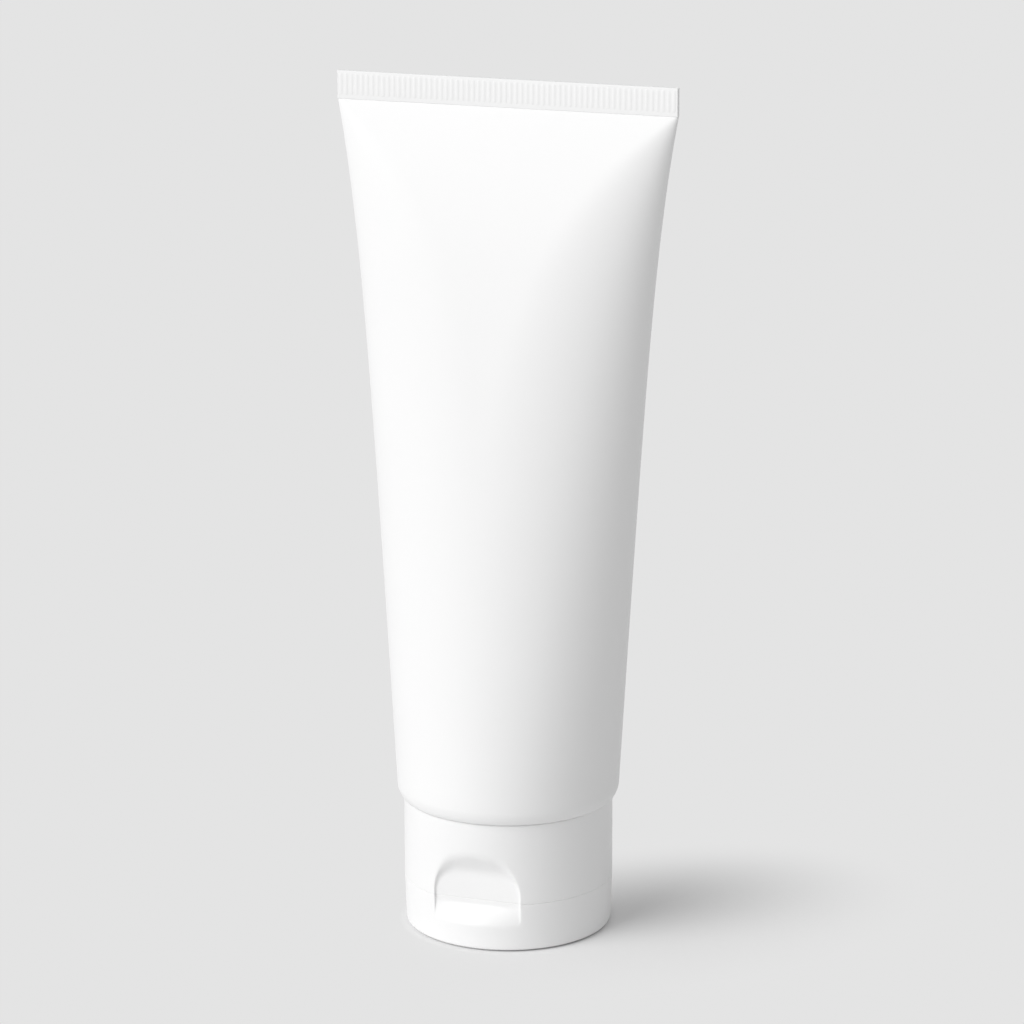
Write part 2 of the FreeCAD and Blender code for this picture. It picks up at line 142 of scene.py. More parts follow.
class ScrubTubeCap(bpy.types.PropertyGroup):
    """Sizes of the two halves of the cap."""

    radius: length("Cap radius", "Outer radius of the cap", BASE_HIGH[0])
    seam: length("Seam", "Height of the seam between lid and base", LID_HIGH[2])
    top: length("Cap top", "Height of the base's rim beside the sleeve", BASE_HIGH[2])
    wall: length("Cap wall", "Thickness of the outer walls", 1.3 * MM)
    deck: length("Deck", "Thickness of the deck across the base", 1.3 * MM)
    rim_round: length("Rim round", "Radius of the base's upper edge", 0.3 * MM)
    seam_round: length("Seam round", "Radius of both edges at the seam", 0.09 * MM)
    lid_draft: length("Lid draft", "How much the lid narrows towards its face", 0.3 * MM)
    lid_edge: length("Lid edge", "Radius of the lid's outer edge", 0.6 * MM)
    foot_rise: length("Foot rise", "Height of the low foot under the lid", 0.25 * MM)
    foot_inset: length("Foot inset", "From the lid's wall in to its foot", 1.7 * MM)
    lid_face: length("Lid face", "Thickness of the lid's face", 1.3 * MM)
    collar_rise: length("Collar rise", "How far the collar stands into the lid", 1.2 * MM)
    collar_wall: length("Collar wall", "Thickness of the collar", 1.1 * MM)
    lid_fit: length("Lid fit", "Between the lid's wall and the collar", 0.25 * MM)
    orifice: length("Orifice", "Radius of the nozzle's bore", 2.5 * MM)
    nozzle_wall: length("Nozzle wall", "Thickness of the nozzle", 1.6 * MM)
    nozzle_rise: length("Nozzle rise", "How far the nozzle stands into the lid", 2.0 * MM)
    plug_fit: length("Plug fit", "Between the plug and the bore", 0.12 * MM)
    plug_wall: length("Plug wall", "Thickness of the hollow plug", 0.8 * MM)
    plug_depth: length("Plug depth", "How far the plug goes into the nozzle", 1.3 * MM)
    notch_half: length("Notch half width", "Half the width of the thumb notch", 8.65 * MM)
    notch_depth: length("Notch depth", "From the cap's front to the floor", 2.3 * MM)
    notch_draft: length("Notch draft", "How much each side leans in", 0.6 * MM)
    notch_top: length("Notch top", "From the seam to the notch's top edge", 8.9 * MM)
    notch_flat: length("Notch flat", "From the seam to the end of the floor", 5.3 * MM)
    notch_corner: length("Notch corner", "Radius of the top corners", 4.6 * MM)
    notch_wall: length("Notch wall", "Thickness behind the notch's floor", 1.3 * MM)
    ledge_drop: length("Ledge drop", "From the seam to the ledge's outer edge", 4.2 * MM)
    ledge_start: length("Ledge start", "From the seam to where the ledge begins", 1.0 * MM)
    ledge_corner: length("Ledge corner", "Radius of the ledge's corners", 0.5 * MM)
    hinge_width: length("Hinge width", "Width of the film and its lugs", 12.0 * MM)
    hinge_film: length("Hinge film", "Thickness of each half of the film", 0.35 * MM)
    lug_face: length("Lug face", "Height of each lug's flat back", 0.9 * MM)
    lug_slope: length("Lug slope", "Height over which a lug slopes back", 2.4 * MM)


class ScrubTubeLooks(bpy.types.PropertyGroup):
    """Colours of the plastics, the filling and the stage."""

    sleeve: colour("Sleeve", "Colour of the sleeve", (0.9, 0.9, 0.9))
    cap: colour("Cap", "Colour of the cap", (0.9, 0.9, 0.9))
    scrub: colour("Scrub", "Colour of the filling", (0.8, 0.77, 0.7))
    grains: colour("Grains", "Colour of the filling's grains", (0.45, 0.38, 0.3))
    floor: colour("Floor", "Colour of the floor", (0.9, 0.9, 0.9))


class ScrubTubeStage(bpy.types.PropertyGroup):
    """Camera and lights."""

    turn: angle("Turn", "How far round from the notch the camera stands", 19.3)
    rise: angle("Rise", "How far the camera looks down", 15.125)
    roll: angle("Roll", "How far the camera leans", -0.17)
    distance: length("Distance", "From the camera to the tube's axis", 750 * MM)
    aim: length("Aim", "Height that the camera looks at", 76.92 * MM)
    aside: length("Aside", "How far beside the axis the camera looks", 0.82 * MM)
    lens: number("Lens", "Focal length in millimetres", 147.15)
    key_turn: angle("Key turn", "How far left of the camera the key light stands", 56)
    key_rise: angle("Key rise", "Height of the key light above the horizon", 32)
    key_size: angle("Key size", "Angle that the key light fills", 46)
    key_power: number("Key power", "Strength of the key light", 2.0)
    sky_power: number("Sky power", "Strength of the light from all round", 0.425)
    backdrop: number("Backdrop", "How white the backdrop looks, 1 is white", 0.775)
    shade_middle: length(
        "Shade middle", "From the axis to the middle of the floor's shadow, on the right", 26 * MM
    )
    shade_turn: angle("Shade turn", "How far the shadow runs back from the camera's right", 24)
    shade_long: length("Shade length", "From that middle to the far end of the shadow", 56 * MM)
    shade_wide: length("Shade width", "From that middle to either side of the shadow", 37 * MM)


# ---------------------------------------------------------------- node trees


class Term:
    """A socket of a node tree that Python's arithmetic works on."""

    def __init__(self, graph, socket):
        self.graph = graph
        self.socket = socket

    def __add__(self, other):
        return self.graph.math("ADD", self, other)

    def __sub__(self, other):
        return self.graph.math("SUBTRACT", self, other)

    def __rsub__(self, other):
        return self.graph.math("SUBTRACT", other, self)

    def __mul__(self, other):
        return self.graph.math("MULTIPLY", self, other)

    def __truediv__(self, other):
        return self.graph.math("DIVIDE", self, other)

    def __pow__(self, other):
        return self.graph.math("POWER", self, other)

    __radd__ = __add__

    def between(self, low, high):
        """The value, kept within a range."""
        return self.graph.math("MINIMUM", self.graph.math("MAXIMUM", self, low), high)


class Graph:
    """Adds nodes to one tree."""

    def __init__(self, tree):
        self.tree = tree

    def add(self, kind, sockets=None, **settings):
        """A node of a type, with its settings and the values or links of its sockets."""
        node = self.tree.nodes.new(kind)
        for name, setting in settings.items():
            setattr(node, name, setting)
        for key, value in (sockets or {}).items():
            self.feed(node.inputs[key], value)
        return node

    def feed(self, socket, value):
        """Sets a socket, or links one or, from a list, several others to it."""
        for source in value if isinstance(value, list) else [value]:
            if isinstance(source, Term):
                source = source.socket
            if isinstance(source, bpy.types.NodeSocket):
                self.tree.links.new(source, socket)
            else:
                socket.default_value = source

    def math(self, operation, *terms):
        node = self.add("ShaderNodeMath", dict(enumerate(terms)), operation=operation)
        return Term(self, node.outputs[0])

    def vector(self, x=0.0, y=0.0, z=0.0):
        return self.add("ShaderNodeCombineXYZ", {0: x, 1: y, 2: z}).outputs[0]

    def size_of(self, vector):
        node = self.add("ShaderNodeVectorMath", {0: vector}, operation="LENGTH")
        return Term(self, node.outputs["Value"])

    def position(self):
        """The coordinates x, y and z of every vertex."""
        spot = self.add("GeometryNodeInputPosition").outputs[0]
        parts = self.add("ShaderNodeSeparateXYZ", {0: spot})
        return [Term(self, output) for output in parts.outputs]


def start_shading(owner):
    """The graph of a material's or a world's empty node tree."""
    owner.use_nodes = True
    owner.node_tree.nodes.clear()
    return Graph(owner.node_tree)


def start_tree(name, inputs):
    """The graph of a new Geometry Nodes tree with named inputs, and the inputs' terms."""
    tree = bpy.data.node_groups.new(name, "GeometryNodeTree")
    tree.interface.new_socket("Geometry", in_out="OUTPUT", socket_type="NodeSocketGeometry")
    for label, value in inputs.items():
        kind = "NodeSocketInt" if isinstance(value, int) else "NodeSocketFloat"
        if isinstance(value, bpy.types.Material):
            kind = "NodeSocketMaterial"
        tree.interface.new_socket(label, in_out="INPUT", socket_type=kind)
    graph = Graph(tree)
    entry = graph.add("NodeGroupInput")
    return graph, {label: Term(graph, entry.outputs[label]) for label in inputs}


def end_tree(graph, geometry, material):
    """Ends a tree with Realize Instances and Set Material."""
    real = graph.add("GeometryNodeRealizeInstances", {"Geometry": geometry})
    smooth = graph.add("GeometryNodeSetShadeSmooth", {"Geometry": real.outputs[0]})
    finish = graph.add(
        "GeometryNodeSetMaterial", {"Geometry": smooth.outputs[0], "Material": material}
    )
    graph.add("NodeGroupOutput", {"Geometry": finish.outputs[0]})


def grow_mesh(tree, inputs):
    """The plain mesh that a tree makes from its inputs."""
    holder = bpy.data.objects.new(tree.name, bpy.data.meshes.new(tree.name))
    bpy.context.collection.objects.link(holder)
    modifier = holder.modifiers.new(tree.name, "NODES")
    modifier.node_group = tree
    for item in tree.interface.items_tree:
        if item.in_out == "INPUT":
            modifier[item.identifier] = inputs[item.name]
    bpy.context.view_layer.update()
    evaluated = holder.evaluated_get(bpy.context.evaluated_depsgraph_get())
    mesh = bpy.data.meshes.new_from_object(evaluated)
    holder.modifiers.clear()
    bpy.data.objects.remove(holder)
    return mesh


# ---------------------------------------------------------------- materials


MOTTLE = 0.985  # the darkest mottle, as a share of the colour
UNEVEN = 0.05  # how much the roughness varies either way


def plastic(name, tone, roughness, grain, relief):
    """A white moulded or extruded plastic: a trace of mottle, and a fine skin of dimples of the
    size grain, in metres, and the height relief."""
    material = bpy.data.materials.new(name)
    graph = start_shading(material)
    place = graph.add("ShaderNodeTexCoord").outputs["Object"]
    mottle = graph.add("ShaderNodeTexNoise", {"Vector": place, "Scale": 60.0, "Detail": 3.0})
    cloud = Term(graph, mottle.outputs[0]).between(0.3, 0.7)
    skin = graph.add(
        "ShaderNodeTexNoise",
        {"Vector": place, "Scale": 1 / grain, "Detail": 2.0, "Roughness": 0.45},
    )
    shade = graph.add(
        "ShaderNodeMix",
        {0: cloud, 6: (*[MOTTLE * part for part in tone], 1), 7: (*tone, 1)},
        data_type="RGBA",
    )
    bump = graph.add("ShaderNodeBump", {"Distance": relief, "Height": skin.outputs[0]})
    surface = graph.add(
        "ShaderNodeBsdfPrincipled",
        {
            "Base Color": shade.outputs[2],
            "Roughness": roughness - UNEVEN + cloud * (2 * UNEVEN),
            "Normal": bump.outputs[0],
        },
    )
    graph.add("ShaderNodeOutputMaterial", {"Surface": surface.outputs[0]})
    return material


def paste(name, tone, grains):
    """The filling: a pale paste with small darker grains, which are a little glossier."""
    material = bpy.data.materials.new(name)
    graph = start_shading(material)
    place = graph.add("ShaderNodeTexCoord").outputs["Object"]
    cells = graph.add("ShaderNodeTexVoronoi", {"Vector": place, "Scale": 1400.0})
    speck = (1.6 - Term(graph, cells.outputs["Distance"]) * 6).between(0, 1)
    lumps = graph.add("ShaderNodeTexNoise", {"Vector": place, "Scale": 500.0, "Detail": 4.0})
    shade = graph.add(
        "ShaderNodeMix", {0: speck, 6: (*tone, 1), 7: (*grains, 1)}, data_type="RGBA"
    )
    height = Term(graph, lumps.outputs[0]) + speck * 0.6
    bump = graph.add("ShaderNodeBump", {"Distance": 0.15 * MM, "Height": height})
    surface = graph.add(
        "ShaderNodeBsdfPrincipled",
        {
            "Base Color": shade.outputs[2],
            "Roughness": 0.55 - speck * 0.15,
            "Normal": bump.outputs[0],
        },
    )
    graph.add("ShaderNodeOutputMaterial", {"Surface": surface.outputs[0]})
    return material


# ---------------------------------------------------------------- meshes


WELD = 0.0005 * MM  # vertices closer than this are one
CRISP = math.radians(42)  # edges that turn by more stay crisp


def turn_outwards(made):
    """Makes the faces of each closed shell agree, and point away from what it encloses."""
    bmesh.ops.recalc_face_normals(made, faces=made.faces)
    left = set(made.faces)
    while left:
        shell = [left.pop()]
        for face in shell:
            for edge in face.edges:
                for other in edge.link_faces:
                    if other in left:
                        left.remove(other)
                        shell.append(other)
        if sum(f.calc_area() * f.normal.dot(f.calc_center_median()) for f in shell) < 0:
            bmesh.ops.reverse_faces(made, faces=shell)


def finish_piece(name, made, material, body, node):
    """A piece from a bmesh of closed shells, on its body in place of its CAD node."""
    bmesh.ops.remove_doubles(made, verts=made.verts, dist=WELD)
    turn_outwards(made)
    mesh = bpy.data.meshes.new(name)
    made.to_mesh(mesh)
    made.free()
    mesh.materials.append(material)
    mesh.set_sharp_from_angle(angle=CRISP)
    piece = bpy.data.objects.new(name, mesh)
    bpy.context.collection.objects.link(piece)
    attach(piece, body)
    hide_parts(node)


def steps(start, end, count):
    """Evenly spaced values after start, up to and with end."""
    return [start + (end - start) * i / count for i in range(1, count + 1)]


def join_rows(made, rows):
    """Faces between closed rows of vertices, leaving out those with a missing corner."""
    count = len(rows[0])
    for lower, upper in zip(rows, rows[1:]):
        for i in range(count):
            j = (i + 1) % count
            corners = [lower[i], lower[j], upper[j], upper[i]]
            if None not in corners:
                made.faces.new(corners).smooth = True


def rounded(corners, turns=5):
    """The points of an open line through corners of (across, up, radius). An arc takes each
    corner's place, with a point a margin before and after it, so that shading stays even on the
    straight runs."""
    margin = 0.1 * MM
    points = []
    for i, (across, up, radius) in enumerate(corners):
        corner = Vector((across, up))
        if not radius:
            points.append(corner)
            continue
        back = (Vector(corners[i - 1][:2]) - corner).normalized()
        ahead = (Vector(corners[i + 1][:2]) - corner).normalized()
        half = back.angle(ahead) / 2
        run = radius / math.tan(half)
        centre = corner + (back + ahead).normalized() * radius / math.sin(half)
        start = corner + back * run - centre
        end = corner + ahead * run - centre
        points.append(corner + back * (run + margin))
        for turn in range(turns + 1):
            points.append(centre + start.slerp(end, turn / turns) * radius)
        points.append(corner + ahead * (run + margin))
    return points


def round_row(made, radius, height, reach=None):
    """A closed row round the axis. Its front is flattened at a distance reach from the axis, and
    columns run along both edges of the flat. The columns beyond the angle calm keep their places
    on every row."""
    crease = math.acos(min((reach or radius) / radius, 1))
    calm = math.radians(36)
    half = steps(0, crease, 6) + steps(crease, calm, 6) + steps(calm, math.pi, 48)
    turns = [0] + half + [-turn for turn in reversed(half[:-1])]
    flat = -(reach or radius)
    return [
        made.verts.new((radius * math.sin(t), max(-radius * math.cos(t), flat), height))
        for t in turns
    ]


def ring(made, corners, reach=None):
    """A closed ring round the axis from corners of (radius, height, rounding). reach is where
    its outer face is flattened at the front."""
    outer = max(radius for radius, _, _ in corners)
    rows = []
    for radius, height in rounded(corners):
        rows.append(round_row(made, radius, height, reach and reach - outer + radius))
    join_rows(made, rows + rows[:1])


def bar(made, corners, half, bevel):
    """A bar along X with bevelled ends, from corners of (y, z, rounding)."""
    outline = rounded(corners)
    centre = sum(outline, Vector((0, 0))) / len(outline)
    rows = []
    for x, inset in ((-half, bevel), (bevel - half, 0), (half - bevel, 0), (half, bevel)):
        row = []
        for point in outline:
            y, z = point + (centre - point).normalized() * inset
            row.append(made.verts.new((x, y, z)))
        rows.append(row)
    join_rows(made, rows)
    made.faces.new(rows[0])
    made.faces.new(rows[-1])


def close_plane(made, height):
    """Fills what is open at a height with flat faces."""
    bmesh.ops.remove_doubles(made, verts=made.verts, dist=WELD)
    level = {v for v in made.verts if abs(v.co.z - height) < 2 * WELD}
    edges = [e for e in made.edges if e.is_boundary and all(v in level for v in e.verts)]
    bmesh.ops.triangle_fill(made, edges=edges, use_beauty=True)


# ---------------------------------------------------------------- sleeve

# A quarter of an ellipse's outline is close to (reach^p + depth^p)^(1/p) of its half axes.
OUTLINE_POWER = math.log(2) / math.log(math.pi / 2)
SEAL_SHARE = 0.985  # how far up the inner walls meet
CROWN_ROWS = 5
PRESS = 0.1 * MM  # height over which the body is pressed to the strip's thickness
LIP = 0.06 * MM  # rounding of both edges at the sleeve's open end
COLUMN_POWER = 1.8  # how closely the columns gather at the sides
TIP_SHARE = 0.6  # length of a rib's round tip, as a share of the rib's width


def strip_half_width(sizes):
    """Half the width of the crimp at mid-wall."""
    radius = sizes.end_radius - sizes.wall / 2
    return radius * (1 + (math.pi / 2 - 1) * (sizes.steady_spread + sizes.late_spread))


def skin_mesh(sizes, material):
    """The sleeve as one closed skin. A grid's columns go round the tube, and its rows go down the
    inner wall, round the end, up the outer wall and over the crimp."""
    inputs = {
        "Material": material,
        "Columns": sizes.columns,
        "Middle radius": sizes.end_radius - sizes.wall / 2,
        "Wall": sizes.wall,
        "Foot": sizes.foot,
        "Length": sizes.top - sizes.foot,
        "End round": sizes.end_round,
        "End inset": sizes.end_inset,
        "Crimp height": sizes.crimp_height,
        "Crimp half depth": sizes.crimp_half,
        "Crown": sizes.crown,
        "Steady spread": sizes.steady_spread,
        "Late spread": sizes.late_spread,
        "Late power": sizes.late_power,
        "Flat power": sizes.flat_power,
    }
    graph, sized = start_tree("tube_skin", inputs)
    radius, end_round, inset = sized["Middle radius"], sized["End round"], sized["End inset"]
    crimp_low = sized["Length"] - sized["Crimp height"]
    rise = crimp_low - end_round
    stages = [  # rows, change of height, change of side: -1 is the inner wall, 1 the outer
        (1, 0, 0),
        (20, rise * -SEAL_SHARE, 0),
        (6, LIP - end_round, 0),
        (1, -LIP, 0.3),
        (1, 0, 1.4),
        (1, LIP, 0.3),
        (12, end_round - LIP, 0),
        (60, rise * 0.78, 0),
        (24, rise * 0.16, 0),
        (24, rise * 0.06, 0),
        (1, PRESS, 0),
        (5, sized["Crimp height"] - sized["Crown"] - PRESS, 0),
    ]
    plain_rows = sum(rows for rows, _, _ in stages)
    rows = plain_rows + CROWN_ROWS

    grid = graph.add(
        "GeometryNodeMeshGrid",
        {
            "Size X": sized["Columns"],
            "Size Y": float(rows),
            "Vertices X": sized["Columns"] + 1,
            "Vertices Y": rows + 1,
        },
    )
    column, row, _ = graph.position()
    row = row + rows / 2
    turn = column * (2 * math.pi) / sized["Columns"]
    front = graph.math("SIGN", turn)
    right = graph.math("SIGN", math.pi / 2 - graph.math("ABSOLUTE", turn))

    height = end_round + rise * SEAL_SHARE
    side, first = -1, 0
    for count, climb, cross in stages:
        done = (row - first).between(0, count) / count
        height = height + done * climb
        if cross:
            side = done * cross + side
        first += count
    crown_turn = (row - plain_rows).between(0, CROWN_ROWS) * (math.pi / 2 / CROWN_ROWS)
    height = height + sized["Crown"] * graph.math("SINE", crown_turn)

    share = ((height - end_round) / rise).between(0, 1)
    widening = share * sized["Steady spread"] + share ** sized["Late power"] * sized["Late spread"]
    half_width = radius * (1 + widening * (math.pi / 2 - 1))
    flat = half_width * share ** sized["Flat power"]
    reach = half_width - flat
    quarter = radius * (math.pi / 2)
    curved = quarter - flat
    depth = (curved**OUTLINE_POWER - reach**OUTLINE_POWER) ** (1 / OUTLINE_POWER)
    arc = (end_round**2 + inset**2) / (inset * 2)
    below = (end_round - height).between(0, end_round)
    curl = arc - (arc**2 - below**2) ** 0.5
    grow = side * sized["Wall"] / 2 - curl

    pressed = ((height - crimp_low) / PRESS).between(0, 1)
    depth = (depth + grow).between(0, 1)
    depth = depth + (sized["Crimp half depth"] - depth) * pressed
    from_side = graph.math("PINGPONG", turn, math.pi / 2) * (2 / math.pi)
    walked = quarter * from_side**COLUMN_POWER
    bend = (walked / curved).between(0, 1) * (math.pi / 2)
    squared = 1 - pressed * 0.5
    nose = (reach + grow).between(0, 1) * graph.math("COSINE", bend).between(0, 1) ** squared
    x = right * ((quarter - walked).between(0, flat) + nose)
    y = front * depth * graph.math("SINE", bend).between(0, 1) ** squared
    y = y * row.between(0, 1) * graph.math("COSINE", crown_turn)

    bent = graph.add(
        "GeometryNodeSetPosition",
        {"Geometry": grid.outputs["Mesh"], "Position": graph.vector(x, y, height + sized["Foot"])},
    )
    closed = graph.add(
        "GeometryNodeMergeByDistance", {"Geometry": bent.outputs[0], "Distance": 2 * WELD}
    )
    end_tree(graph, closed.outputs[0], sized["Material"])
    return grow_mesh(graph.tree, inputs)


def rib_mesh(sizes, material):
    """The crimp's upright ribs, on both faces of the strip."""
    inputs = {
        "Material": material,
        "Ribs": sizes.ribs,
        "Rib rise": sizes.rib_rise,
        "Rib width": sizes.rib_width,
        "Strip half width": strip_half_width(sizes),
        "Crimp half depth": sizes.crimp_half,
        "Ribs from": sizes.top - sizes.crimp_height + sizes.rib_low,
        "Ribs to": sizes.top - sizes.rib_high,
    }
    graph, sized = start_tree("crimp_ribs", inputs)
    ball = graph.add("GeometryNodeMeshUVSphere", {"Segments": 8, "Rings": 5, "Radius": 1.0})
    x, y, z = graph.position()
    half = (sized["Ribs to"] - sized["Ribs from"]) / 2
    tip = sized["Rib width"] * TIP_SHARE
    stretched = graph.vector(
        x * sized["Rib width"] / 2,
        y * sized["Rib rise"],
        z * tip + graph.math("SIGN", z) * (half - tip),
    )
    rib = graph.add(
        "GeometryNodeSetPosition", {"Geometry": ball.outputs["Mesh"], "Position": stretched}
    )
    pitch = sized["Strip half width"] * 2 / sized["Ribs"]
    first = pitch / 2 - sized["Strip half width"]
    middle = (sized["Ribs to"] + sized["Ribs from"]) / 2
    faces = []
    for way in (-1, 1):
        start = graph.vector(first, sized["Crimp half depth"] * way, middle)
        line = graph.add(
            "GeometryNodeMeshLine",
            {"Count": sized["Ribs"], "Start Location": start, "Offset": graph.vector(pitch)},
            mode="OFFSET",
        )
        ribs = graph.add(
            "GeometryNodeInstanceOnPoints",
            {"Points": line.outputs[0], "Instance": rib.outputs[0]},
        )
        faces.append(ribs.outputs[0])
    both = graph.add("GeometryNodeJoinGeometry", {0: faces})
    end_tree(graph, both.outputs[0], sized["Material"])
    return grow_mesh(graph.tree, inputs)


# ---------------------------------------------------------------- cap


CLEAR = 0.02 * MM  # how far a lug's buried faces keep from the faces of the wall around them
FILM_ROOT = 0.8 * MM  # how deep the film reaches into the cap's back
SEAM_SHARES = (0, 0.25, 0.6, 1)  # where rows cross the rounded edge at the seam
RING_SHARES = (0.3, 0.55, 0.75, 0.9)  # where rings of faces run round the notch
BEND_SHARE = 0.3  # the most of the notch's wall that each of its rounded edges takes up
CORNER_SHARE = 0.6  # the most of its corner's radius that the edge at its floor takes up
SETTLING = 30  # rounds that settle where the notch's wall meets the round skin
FIELD_HALF = 11.2 * MM  # half the width of the field of faces that holds the notch
BASE_FIELD = 11.6 * MM  # how far that field rises on the base
LID_FIELD = 5.5 * MM  # and on the lid
BACK_COLUMNS = 116  # columns round the cap beyond that field

# The skirt that snaps over the neck and the ring that seals its bore, as corners of (radius, rise
# from the deck, rounding) in millimetres.
NECK_RINGS = [
    [
        (10.85, -0.4, 0),
        (10.85, 7.5, 0.2),
        (9.35, 7.5, 0.2),
        (9.35, 5.15, 0),
        (9.95, 5.15, 0),
        (9.95, 3.25, 0),
        (9.35, 3.25, 0),
        (9.35, -0.4, 0),
    ],
    [(7.5, -0.4, 0), (7.5, 4.0, 0.2), (6.6, 4.0, 0.2), (6.6, -0.4, 0)],
]


def notch_outline(half, rise, corner, foot, counts):
    """The notch's arch from its left foot over to its right foot, as points (across, rise from
    the seam) and the way out at each. foot holds the lowest rises, the same on every arch."""
    sides, corners, tops = counts
    points = [((-half, up), (-1, 0)) for up in foot + steps(foot[-1], rise - corner, sides)]
    for turn in steps(0, math.pi / 2, 2 * corners):
        out = (-math.cos(turn), math.sin(turn))
        points.append(((corner - half + corner * out[0], rise - corner + corner * out[1]), out))
    points += [((across, rise), (0, 1)) for across in steps(corner - half, 0, tops)]
    points += [((-x, up), (-u, v)) for (x, up), (u, v) in reversed(points[:-1])]
    return [Vector(point) for point, _ in points], [Vector(out) for _, out in points]


def curve_between(start, corner, end):
    """Points after start on the curve that rounds a corner."""
    return [
        start * (1 - u) ** 2 + corner * (2 * u * (1 - u)) + end * u**2 for u in steps(0, 1, 5)
    ]


class CapHalf:
    """The outer skin of one half of the cap, with its half of the thumb notch. Rises are
    measured from the seam: up on the base, and down on the lid."""

    def __init__(self, made, cap, way, lean):
        self.made = made
        self.cap = cap
        self.way = way
        self.lean = lean
        self.foot = [share * cap.seam_round for share in SEAM_SHARES]

    def radius(self, rise):
        return self.cap.radius - self.lean * rise

    def vertex(self, x, y, rise):
        return self.made.verts.new((x, y, self.cap.seam + self.way * rise))

    def on_skin(self, point):
        """The place on the round wall at (across, rise)."""
        x, rise = point
        return Vector((x, -math.sqrt(self.radius(rise) ** 2 - x**2), rise))

    def build(self, flat, top, corner, edge, window, counts, rows, level_top=False):
        """flat is how far the notch's floor rises and top how far its front does. edge is the
        most that its rounded edges take up on each side. window is the half width and the rise
        of the field that holds it, and counts are the faces along its side, half its corner and
        half its top. rows are (radius, rise) of the skin beyond the field."""
        cap = self.cap
        sides, corners, tops = counts
        half, high = window
        ups = self.foot + steps(self.foot[-1], top - corner, sides)
        ups += steps(top - corner, high, corners)
        left = [-half] + steps(-half, corner - cap.notch_half, corners)
        left += steps(corner - cap.notch_half, 0, tops)
        across = left + [-x for x in reversed(left[:-1])]
        grid = [self.row(self.radius(up), up, across, True) for up in ups[:-1]]
        beyond = [(self.radius(high), high)] + rows
        grid += [self.row(radius, rise, across, False) for radius, rise in beyond]
        join_rows(self.made, grid)

        last = len(across) - 1
        frame = [row[0] for row in grid[: len(ups)]] + grid[len(ups) - 1][1:last]
        frame += [row[last] for row in reversed(grid[: len(ups)])]
        self.cut_notch(frame, flat, top, corner, edge, counts, level_top)
        self.round_foot()
        return grid[-1]

    def row(self, radius, rise, across, open_front):
        """A closed row round the skin, with nothing in the notch's field if that is open."""
        row = []
        for x in across:
            if open_front and abs(x) < across[-1]:
                row.append(None)
            else:
                row.append(self.vertex(x, -math.sqrt(radius**2 - x**2), rise))
        start = math.asin(across[-1] / radius)
        for turn in steps(start, 2 * math.pi - start, BACK_COLUMNS)[:-1]:
            row.append(self.vertex(radius * math.sin(turn), -radius * math.cos(turn), rise))
        return row

    def cut_notch(self, frame, flat, top, corner, edge, counts, level_top):
        """Rings of faces from the notch's field in to its floor. level_top keeps the outer edge
        at the height of the front outline, where it would else follow the slope."""
        cap = self.cap
        floor = cap.radius - cap.notch_depth
        front, outs = notch_outline(cap.notch_half, top, corner, self.foot, counts)
        back, _ = notch_outline(cap.notch_half - cap.notch_draft, flat, corner, self.foot, counts)
        rails = []
        for i, corner_vertex in enumerate(frame):
            share = 0.5
            for _ in range(SETTLING):
                point = back[i].lerp(front[i], share)
                if level_top:
                    point.y = front[i].y
                share = (-self.on_skin(point).y - floor) / cap.notch_depth
            outer = Vector((point.x, -floor - share * cap.notch_depth, point.y))
            inner = Vector((back[i].x, -floor, back[i].y))
            wall = inner - outer
            run = min(BEND_SHARE * wall.length, edge)
            low = min(run, CORNER_SHARE * corner)
            out = Vector((outs[i].x, 0, outs[i].y))
            skin = self.on_skin(point + outs[i] * run)
            corner_place = Vector((corner_vertex.co.x, self.way * (corner_vertex.co.z - cap.seam)))
            rail = []
            for part in RING_SHARES:
                rail.append(self.on_skin(corner_place.lerp(skin.xz, part)))
            rail.append(skin)
            upper = outer + wall.normalized() * run
            lower = inner - wall.normalized() * low
            rail += curve_between(skin, outer, upper)
            rail += [upper.lerp(lower, 0.33), upper.lerp(lower, 0.67), lower]
            rail += curve_between(lower, inner, inner - out * low)
            rail.append(inner - out * (low + 0.1 * MM))
            rails.append([corner_vertex] + [self.vertex(x, y, up) for x, y, up in rail])
        for one, other in zip(rails, rails[1:]):
            for i in range(len(one) - 1):
                face = self.made.faces.new((one[i], one[i + 1], other[i + 1], other[i]))
                face.smooth = True
        floor_edge = [rail[-1] for rail in rails]
        level = len(self.foot) + counts[0] + 2 * counts[1] - 1
        for i in range(level):
            across = (floor_edge[i], floor_edge[i + 1], floor_edge[-i - 2], floor_edge[-i - 1])
            self.made.faces.new(across)
        self.made.faces.new(floor_edge[level : len(floor_edge) - level])

    def round_foot(self):
        """Rounds the edge at the seam."""
        edge = self.cap.seam_round
        bmesh.ops.recalc_face_normals(self.made, faces=self.made.faces)
        self.made.normal_update()
        backmost = max(self.made.verts, key=lambda v: v.co.y)
        outward = 1 if backmost.normal.y > 0 else -1
        moves = {}
        for v in self.made.verts:
            rise = self.way * (v.co.z - self.cap.seam)
            if rise < edge:
                normal = Vector((v.normal.x, v.normal.y, 0)).normalized()
                moves[v] = normal * outward * (edge - math.sqrt(edge**2 - (edge - rise) ** 2))
        for v, move in moves.items():
            v.co -= move


def film_corners(cap, way):
    """Outline of one half of the film hinge, with its rounded nose round the fold line."""
    root = cap.radius - FILM_ROOT
    corners = [(root, cap.seam, 0)]
    for turn in [0] + steps(0, math.pi / 2, 6):
        out = HINGE[1] + cap.hinge_film * math.cos(turn)
        corners.append((out, cap.seam + way * (cap.hinge_film * math.sin(turn)), 0))
    corners.append((root, cap.seam + way * cap.hinge_film, 0))
    return corners


